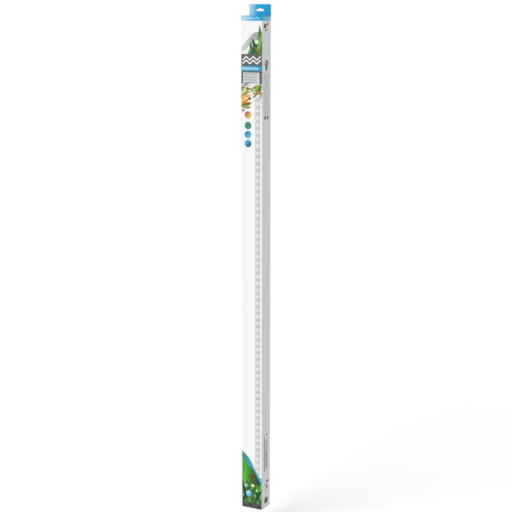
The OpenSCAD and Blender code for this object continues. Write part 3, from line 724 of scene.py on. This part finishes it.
def back_print(settings):
    """The printed back, with the tab's raw edges, and the blank's cut edge at a corner."""
    finish = board("carton_back_print", tuple(settings.white))
    back_marks(finish)
    top_band(finish, settings, finish.x, HALF_W, -HALF_W)
    under_tab = finish.z.below(TALL)
    cut_wide, cut_soft = BOARD * 0.3, 0.1
    finish.paint(ink("cbbfa9"), finish.x.below(-HALF_W + cut_wide, cut_soft) * under_tab)
    printed = finish.facing_y.turned().either(finish.level() * under_tab)
    edge = abs(finish.facing_y).below(TURNED, TURN_SOFT)
    close_board(finish, finish.x, printed, edge * (1.0 - under_tab))
    return finish


class CARTON_OT_panels(Operator):
    """Prints the four panels, and leaves the seam strip bare"""
    bl_idname = "carton.panels"
    bl_label = "Carton panels"

    def execute(self, context):
        settings = context.scene.carton_print
        front_print(settings).wear("front_panel")
        side_print(settings).wear("right_side_panel")
        left_print(settings).wear("left_side_panel")
        back_print(settings).wear("back_panel")
        inner = board("carton_inner_board", ink("c6baa5"))
        close_board(inner, inner.x)
        inner.wear("glue_flap")
        return {"FINISHED"}


class CARTON_OT_tab(Operator):
    """Prints the hang tab blue, paler to the left, with raw edges below its rolled top"""
    bl_idname = "carton.tab"
    bl_label = "Hang tab"

    def execute(self, context):
        settings = context.scene.carton_print
        tab = board("carton_tab_print", tuple(settings.blue))
        share = tab.x.ramp(-HALF_W * 1.05, -HALF_W * 0.1, smooth=True)
        tab.cover(tab.blend(tuple(settings.pale_blue), ink("00a3d2"), share))
        deep_from, deep_soft, deep_share = HALF_W * 0.55, 26.0, 0.6
        tab.paint(ink("0292cc"), tab.x.above(deep_from, deep_soft) * deep_share)
        roll = tab.z.above(corners("hang_tab_facing")[1].z - BOARD, 0.1)
        edge = abs(tab.facing_y).below(TURNED, TURN_SOFT) * (1.0 - roll)
        close_board(tab, tab.x, (-tab.facing_y).turned().either(roll), edge)
        tab.wear("hang_tab_facing")
        return {"FINISHED"}


class CARTON_OT_flaps(Operator):
    """Coats the lids and the dust flaps"""
    bl_idname = "carton.flaps"
    bl_label = "Carton flaps"

    def execute(self, context):
        settings = context.scene.carton_print
        coat, coat_soft = BOARD * 0.4, 0.1
        lid = board("carton_lid_print", tuple(settings.blue))
        share = lid.x.ramp(-HALF_W, HALF_W * BAND_DEEP, smooth=True)
        lid.cover(lid.blend(tuple(settings.pale_blue), tuple(settings.blue), share))
        close_board(lid, lid.x, lid.z.above(TALL - coat, coat_soft))
        lid.wear("top_tuck_flap")
        foot = board("carton_foot_print", tuple(settings.white))
        close_board(foot, foot.x, foot.z.below(coat, coat_soft))
        foot.wear("bottom_tuck_flap")
        for name, up in (("top", 1.0), ("bottom", -1.0)):
            self.dust_flaps(settings, name, up)
        return {"FINISHED"}

    def dust_flaps(self, settings, name, up):
        """Coats one pair: printed outside and round the fold, with raw edges elsewhere."""
        flap = board("carton_" + name + "_dust_flap", tuple(settings.white))
        fold_wide, fold_soft = BOARD * 1.5, 0.2
        fold = abs(flap.x).above(HALF_W - fold_wide, fold_soft)
        if name == "top":
            band_wide, band_soft = settings.band * MM * 0.4, 1.0
            flap.paint(ink("6fd2f4"), abs(flap.x).above(HALF_W - band_wide, band_soft))
        facing = flap.facing_z * up
        printed = facing.turned().either(fold * facing.above(-TURNED, TURN_SOFT))
        close_board(flap, flap.y, printed, (1.0 - flap.level()) * (1.0 - fold))
        flap.wear(name + "_dust_flap_right", name + "_dust_flap_left")


# Plastics and metals

def moulding(name, colour, roughness, grain_mm=0.5, depth_mm=0.015):
    """Moulded plastic with a spark-eroded grain."""
    finish = Finish(name, colour, roughness)
    grain = finish.noise(grain_mm, detail=3.0)
    darker, dark_share = 0.8, 0.35
    dark = finish.noise(18.0).above(0.55, 0.3)
    finish.paint(tuple(c * darker for c in colour), dark * dark_share)
    finish.rough(grain.ramp(*CLOUD, roughness - 0.06, roughness + 0.08))
    finish.bump(grain, depth_mm)
    return finish


def metal(name, colour, roughness, stretch):
    """Bare metal with lines along the way that it was drawn or turned."""
    finish = Finish(name, colour, roughness, metallic=1.0)
    lines = finish.noise(0.5, detail=3.0, stretch=stretch)
    darker, dark_share = 0.82, 0.5
    finish.paint(tuple(c * darker for c in colour), lines.above(0.5, 0.3) * dark_share)
    finish.rough(lines.ramp(*CLOUD, roughness - 0.08, roughness + 0.1))
    finish.bump(lines, depth_mm=0.006)
    return finish


class LAMP_OT_body(Operator):
    """Finishes the heat sink, the clear cover, the LED board and what is soldered to it"""
    bl_idname = "lamp.body"
    bl_label = "Lamp body"

    def execute(self, context):
        metal("lamp_anodised", ink("d2d4d6"), 0.34, (1.0, 1.0, 0.01)).wear("heat_sink")
        cover = Finish("lamp_clear_cover", ink("eef4f7"), roughness=0.08)
        cover.shader.inputs["Transmission Weight"].default_value = 0.92
        cover.shader.inputs["IOR"].default_value = 1.58
        drawn = cover.noise(9.0, detail=3.0, stretch=(1.0, 1.0, 0.05))
        cover.rough(drawn.ramp(*CLOUD, 0.05, 0.16))
        cover.wear("light_cover")
        mask = Finish("lamp_board_mask", ink("eeeeea"), roughness=0.4)
        low, high = corners("led_board")
        track_low, track_high, track_soft, tracks = 0.3, 0.7, 0.04, (2.0, 5.5, 0.3)
        track = (mask.z / LED_PITCH).fraction().between(track_low, track_high, track_soft)
        aside = abs(mask.x - (low.x + high.x) / 2)
        mask.paint(ink("dfe2dc"), track * aside.between(*tracks))
        mask.wear("led_board")
        moulding("lamp_terminal", ink("e6e6e2"), 0.45).wear("board_terminal")
        moulding("lamp_resistor", ink("1b1b1c"), 0.4).wear("ballast_resistors")
        return {"FINISHED"}


class LAMP_OT_leds(Operator):
    """Finishes the LEDs: a white package with a coloured window"""
    bl_idname = "lamp.leds"
    bl_label = "LEDs"

    def execute(self, context):
        window_deep, window_soft = 0.1, 0.05
        for name, window in (("white_leds", "f2d65c"), ("red_leds", "cf4a35")):
            finish = Finish("lamp_" + name, ink("f3f1ea"), roughness=0.35)
            front = corners(name)[0].y
            finish.paint(ink(window), finish.y.below(front + window_deep, window_soft))
            finish.rough(finish.noise(0.6).ramp(*CLOUD, 0.2, 0.4))
            finish.wear(name)
        return {"FINISHED"}


class LAMP_OT_ends(Operator):
    """Finishes the caps, stubs, collars, seals, screws and gland"""
    bl_idname = "lamp.ends"
    bl_label = "Lamp ends"

    def execute(self, context):
        moulding("lamp_cap", ink("3a3c3e"), 0.5).wear("upper_end_cap", "lower_end_cap")
        moulding("lamp_collar", ink("34363a"), 0.46).wear("upper_collar", "lower_collar")
        stub = moulding("lamp_stub", ink("e2e2df"), 0.36, grain_mm=0.4, depth_mm=0.006)
        stub.wear("upper_stub", "lower_stub")
        seal = moulding("lamp_seal", ink("191919"), 0.62)
        seal.wear("upper_stub_seal", "lower_stub_seal", "gland_seal")
        moulding("lamp_gasket", ink("c9cbcd"), 0.6).wear("upper_gasket", "lower_gasket")
        steel = metal("lamp_screw_steel", ink("bfc1c3"), 0.3, (1.0, 1.0, 0.4))
        steel.wear("upper_cap_screws", "lower_cap_screws", "upper_snap_ring", "lower_snap_ring")
        moulding("lamp_gland", ink("1c1c1d"), 0.45).wear("cable_gland", "gland_nut")
        return {"FINISHED"}


class PACK_OT_pads(Operator):
    """Finishes the layered board pads, with flutes on their cut sides and painted shade in the
    hollows between them
    """
    bl_idname = "pack.pads"
    bl_label = "Packing pads"

    def execute(self, context):
        pad = Finish("pad_layered_board", ink("b08f62"), roughness=0.85)
        grain = pad.noise(1.6, detail=4.0)
        grain_share = 0.6
        pad.paint(ink("9c7a50"), grain.above(0.5, 0.3) * grain_share)
        # one layer is two liners, at its foot and top, with a wavy flute between them
        layer_mm, flute_mm, swing, flute_half = 4.0, 6.0, 0.28, 0.14
        layer = (pad.z / layer_mm).fraction()
        flute = (pad.x + pad.y).waves(flute_mm) * swing + 0.5
        liner = layer.below(0.12, 0.06).either(layer.above(0.9, 0.06))
        hollow_shade = (1.0 - abs(layer - flute).below(flute_half, 0.1)) * (1.0 - liner)
        # painted shade: the hollows between the liners and the flute are painted dark brown on the
        # cut sides
        pad.paint(ink("6f5636"), (1.0 - pad.level()) * hollow_shade)
        pad.bump(grain, depth_mm=0.08)
        pad.wear("lower_pad", "middle_pad", "upper_pad", "psu_pad")
        return {"FINISHED"}


class PACK_OT_supply(Operator):
    """Finishes the power supply"""
    bl_idname = "pack.supply"
    bl_label = "Power supply"

    def execute(self, context):
        case = moulding("supply_case", ink("232426"), 0.52, grain_mm=0.7, depth_mm=0.03)
        case.wear("psu_base", "psu_lid")
        moulding("supply_inlet", ink("1d1d1f"), 0.4).wear("psu_mains_inlet")
        moulding("supply_grommet", ink("151515"), 0.6).wear("psu_outlet_gland")
        moulding("supply_board", ink("1f5b33"), 0.4).wear("psu_board")
        moulding("supply_core", ink("c4a243"), 0.45).wear("psu_transformer")
        moulding("supply_can", ink("20284a"), 0.35).wear("psu_capacitors")
        moulding("supply_lens", ink("4fae52"), 0.2).wear("psu_status_lens")
        return {"FINISHED"}


# Stage

SENSOR_MM = 36.0
FLOOR_REACH = 30.0
FLOOR_GREY = (0.86, 0.86, 0.86, 1.0)
# Light that the floor adds where it shows, to bring it up to white
FLOOR_LIFT = 0.34
WHITE_ROOM = (1.0, 1.0, 1.0, 1.0)
# The way that the soft light shines: from the front left, downwards
KEY_WAY = Vector((0.34, 0.80, -0.50))


def showing_rays(tree):
    """1 for rays that show the background: seen straight, in gloss or through the cover."""
    seen = tree.nodes.new("ShaderNodeLightPath").outputs
    straight = Field(tree, seen["Is Camera Ray"])
    gloss = Field(tree, seen["Is Glossy Ray"])
    through = Field(tree, seen["Is Transmission Ray"])
    return straight.either(gloss).either(through)


class STAGE_OT_set(Operator):
    """Sets the camera, the pale floor and the soft light"""
    bl_idname = "stage.set"
    bl_label = "Stage"

    def execute(self, context):
        settings = context.scene.carton_stage
        self.camera(context, settings)
        self.floor(context, settings)
        self.light(context, settings)
        return {"FINISHED"}

    def camera(self, context, settings):
        data = bpy.data.cameras.new("camera")
        data.lens = settings.lens
        data.sensor_width = SENSOR_MM
        camera = bpy.data.objects.new("camera", data)
        context.scene.collection.objects.link(camera)
        turn = settings.azimuth
        right = Vector((cos(turn), sin(turn), 0.0))
        forward = Vector((-sin(turn), cos(turn), 0.0))
        near_corner = Vector((HALF_W, -HALF_D, TALL)) / MM
        camera.location = near_corner - right * settings.aside - forward * settings.distance
        camera.location.z += settings.rise
        camera.rotation_euler = (pi / 2 - settings.dip, 0.0, turn)
        context.scene.camera = camera

    def floor(self, context, settings):
        """A pale floor that shows from above only, so the carton's foot can be seen from below."""
        reach = FLOOR_REACH
        square = [(-reach, -reach, 0), (reach, -reach, 0), (reach, reach, 0), (-reach, reach, 0)]
        mesh = bpy.data.meshes.new("floor")
        mesh.from_pydata(square, [], [(0, 1, 2, 3)])
        floor = bpy.data.objects.new("floor", mesh)
        floor.location.z = -settings.hang
        context.scene.collection.objects.link(floor)
        material = bpy.data.materials.new("floor_pale")
        material.use_nodes = True
        mesh.materials.append(material)
        tree = material.node_tree
        tree.nodes.clear()
        matt = tree.nodes.new("ShaderNodeBsdfDiffuse")
        matt.inputs["Color"].default_value = FLOOR_GREY
        lift = tree.nodes.new("ShaderNodeEmission")
        strength = showing_rays(tree) * FLOOR_LIFT
        tree.links.new(strength.socket, lift.inputs["Strength"])
        pale = tree.nodes.new("ShaderNodeAddShader")
        tree.links.new(matt.outputs[0], pale.inputs[0])
        tree.links.new(lift.outputs[0], pale.inputs[1])
        clear = tree.nodes.new("ShaderNodeBsdfTransparent")
        under = tree.nodes.new("ShaderNodeNewGeometry")
        side = tree.nodes.new("ShaderNodeMixShader")
        tree.links.new(under.outputs["Backfacing"], side.inputs[0])
        tree.links.new(pale.outputs[0], side.inputs[1])
        tree.links.new(clear.outputs[0], side.inputs[2])
        out = tree.nodes.new("ShaderNodeOutputMaterial")
        tree.links.new(side.outputs[0], out.inputs["Surface"])

    def light(self, context, settings):
        """A white room that lights softly from all round, and a wide soft light."""
        world = bpy.data.worlds.new("soft_room")
        context.scene.world = world
        world.use_nodes = True
        tree = world.node_tree
        room = tree.nodes["Background"]
        room.inputs["Color"].default_value = WHITE_ROOM
        strength = showing_rays(tree).ramp(0.0, 1.0, settings.ambient, 1.0)
        tree.links.new(strength.socket, room.inputs["Strength"])
        data = bpy.data.lights.new("key", "SUN")
        data.energy = settings.key
        data.angle = settings.key_spread
        key = bpy.data.objects.new("key", data)
        key.rotation_euler = KEY_WAY.to_track_quat("-Z", "Y").to_euler()
        context.scene.collection.objects.link(key)
        context.scene.view_settings.view_transform = "Standard"


STEPS = ("stage.set", "carton.panels", "carton.tab", "carton.flaps", "lamp.body", "lamp.leds",
         "lamp.ends", "pack.pads", "pack.supply")


class CARTON_PT_sidebar(Panel):
    """Lists the settings, and the steps that dress the carton and its lamp"""
    bl_idname = "CARTON_PT_sidebar"
    bl_label = "Packed aquarium lamp"
    bl_space_type = "VIEW_3D"
    bl_region_type = "UI"
    bl_category = "Lamp"

    def draw(self, context):
        for group in (context.scene.carton_print, context.scene.carton_stage):
            box = self.layout.box()
            for name in group.__annotations__:
                box.prop(group, name)
        for step in STEPS:
            self.layout.operator(step)


CLASSES = (PrintSettings, StageSettings, CARTON_OT_panels, CARTON_OT_tab, CARTON_OT_flaps,
           LAMP_OT_body, LAMP_OT_leds, LAMP_OT_ends, PACK_OT_pads, PACK_OT_supply, STAGE_OT_set,
           CARTON_PT_sidebar)


def register():
    for cls in CLASSES:
        bpy.utils.register_class(cls)
    bpy.types.Scene.carton_print = PointerProperty(type=PrintSettings)
    bpy.types.Scene.carton_stage = PointerProperty(type=StageSettings)


def unregister():
    del bpy.types.Scene.carton_print
    del bpy.types.Scene.carton_stage
    for cls in reversed(CLASSES):
        bpy.utils.unregister_class(cls)


def main():
    register()
    for step in STEPS:
        group, name = step.split(".")
        getattr(getattr(bpy.ops, group), name)()


if __name__ == "__main__":
    main()
